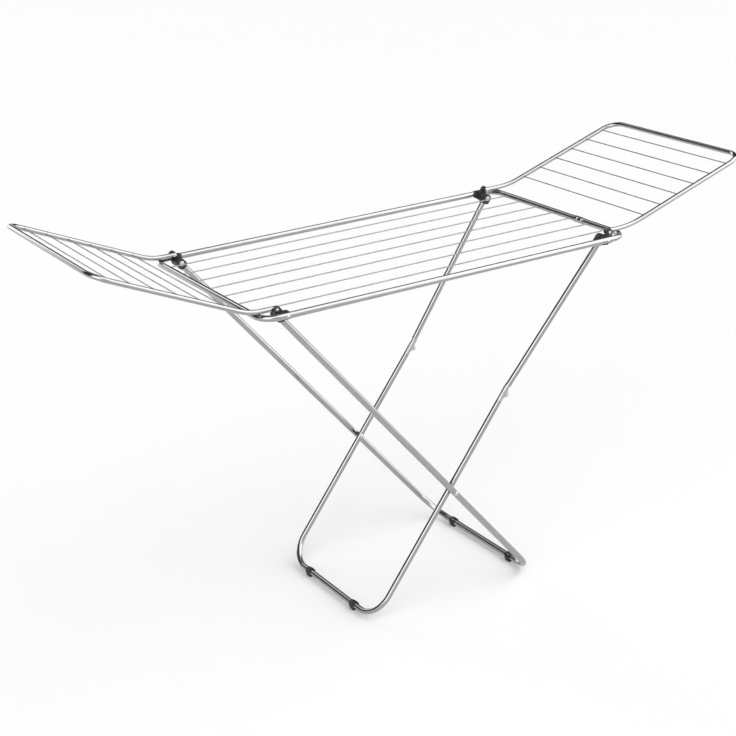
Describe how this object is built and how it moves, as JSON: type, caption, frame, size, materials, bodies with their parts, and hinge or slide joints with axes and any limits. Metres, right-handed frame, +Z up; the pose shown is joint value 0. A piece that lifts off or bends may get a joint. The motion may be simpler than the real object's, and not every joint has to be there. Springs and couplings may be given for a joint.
{
  "type": "clothes drying rack",
  "caption": "Folding chrome clothes drying rack: a wired centre frame with two upturned wings, on crossed U-shaped legs with a knee hinge.",
  "frame": {"origin": "on the floor, under the middle of the opened rack's overall length and width", "axes": "+Z up; X along the rack, right wing at +X; near side at -Y"},
  "size_m": [1.8026, 0.581, 1.0591],
  "materials": {
    "chrome_tube": "polished",
    "wire_steel": "polished",
    "hinge_steel": "satin",
    "fastener_steel": "polished",
    "black_plastic": "matte",
    "foot_plastic": "matte"
  },
  "bodies": {
    "centre_frame": {"block_screws": "fastener_steel", "centre_frame_tube": "chrome_tube", "centre_wire_1": "wire_steel", "centre_wire_2": "wire_steel", "centre_wire_3": "wire_steel", "centre_wire_4": "wire_steel", "centre_wire_5": "wire_steel", "centre_wire_6": "wire_steel", "centre_wire_7": "wire_steel", "corner_block_left_far": "black_plastic", "corner_block_left_near": "black_plastic", "corner_block_right_far": "black_plastic", "corner_block_right_near": "black_plastic", "frame_joint_sleeve": "chrome_tube", "left_wing_pivot_pins": "fastener_steel", "leg_a_pivot_pins": "fastener_steel", "leg_b_pivot_pins": "fastener_steel", "right_wing_pivot_pins": "fastener_steel"},
    "left_wing": {"left_wing_end_plugs": "black_plastic", "left_wing_tube": "chrome_tube", "left_wing_wire_1": "wire_steel", "left_wing_wire_2": "wire_steel", "left_wing_wire_3": "wire_steel", "left_wing_wire_4": "wire_steel", "left_wing_wire_5": "wire_steel", "left_wing_wire_6": "wire_steel"},
    "right_wing": {"right_wing_end_plugs": "black_plastic", "right_wing_tube": "chrome_tube", "right_wing_wire_1": "wire_steel", "right_wing_wire_2": "wire_steel", "right_wing_wire_3": "wire_steel", "right_wing_wire_4": "wire_steel", "right_wing_wire_5": "wire_steel", "right_wing_wire_6": "wire_steel"},
    "leg_a": {"leg_a_crossing_rivets": "fastener_steel", "leg_a_crossing_spacers": "black_plastic", "leg_a_foot_far": "foot_plastic", "leg_a_foot_near": "foot_plastic", "leg_a_head_far": "black_plastic", "leg_a_head_near": "black_plastic", "leg_a_tube": "chrome_tube"},
    "leg_b_upper": {"knee_pins": "fastener_steel", "knee_upper_far": "hinge_steel", "knee_upper_near": "hinge_steel", "leg_b_head_far": "black_plastic", "leg_b_head_near": "black_plastic", "leg_b_strut_far": "chrome_tube", "leg_b_strut_near": "chrome_tube"},
    "leg_b_lower": {"knee_lower_far": "hinge_steel", "knee_lower_near": "hinge_steel", "leg_b_crossing_rivets": "fastener_steel", "leg_b_crossing_spacers": "black_plastic", "leg_b_foot_far": "foot_plastic", "leg_b_foot_near": "foot_plastic", "leg_b_tube": "chrome_tube"}
  },
  "joints": [
    {"name": "left_wing_fold", "type": "hinge", "parent": "centre_frame", "child": "left_wing", "pos_m": [-0.48038, 0, 0.8958], "axis": [0, 1, 0], "range_deg": [0, 158]},
    {"name": "right_wing_fold", "type": "hinge", "parent": "centre_frame", "child": "right_wing", "pos_m": [0.45362, 0, 0.8958], "axis": [0, -1, 0], "range_deg": [0, 163]},
    {"name": "leg_a_fold", "type": "hinge", "parent": "centre_frame", "child": "leg_a", "pos_m": [-0.47088, 0, 0.877], "axis": [0, -1, 0], "range_deg": [0, 45]},
    {"name": "leg_b_fold", "type": "hinge", "parent": "centre_frame", "child": "leg_b_upper", "pos_m": [0.44412, 0, 0.877], "axis": [0, 1, 0], "range_deg": [0, 50.4]},
    {"name": "knee_fold", "type": "hinge", "parent": "leg_b_upper", "child": "leg_b_lower", "pos_m": [0.17278, 0, 0.51664], "axis": [0, -1, 0], "range_deg": [0, 169.46]}
  ],
  "couplings": [
    {"joint": "leg_b_fold", "follows": "leg_a_fold", "ratio": 1.1189},
    {"joint": "knee_fold", "follows": "leg_a_fold", "ratio": 3.7647}
  ]
}
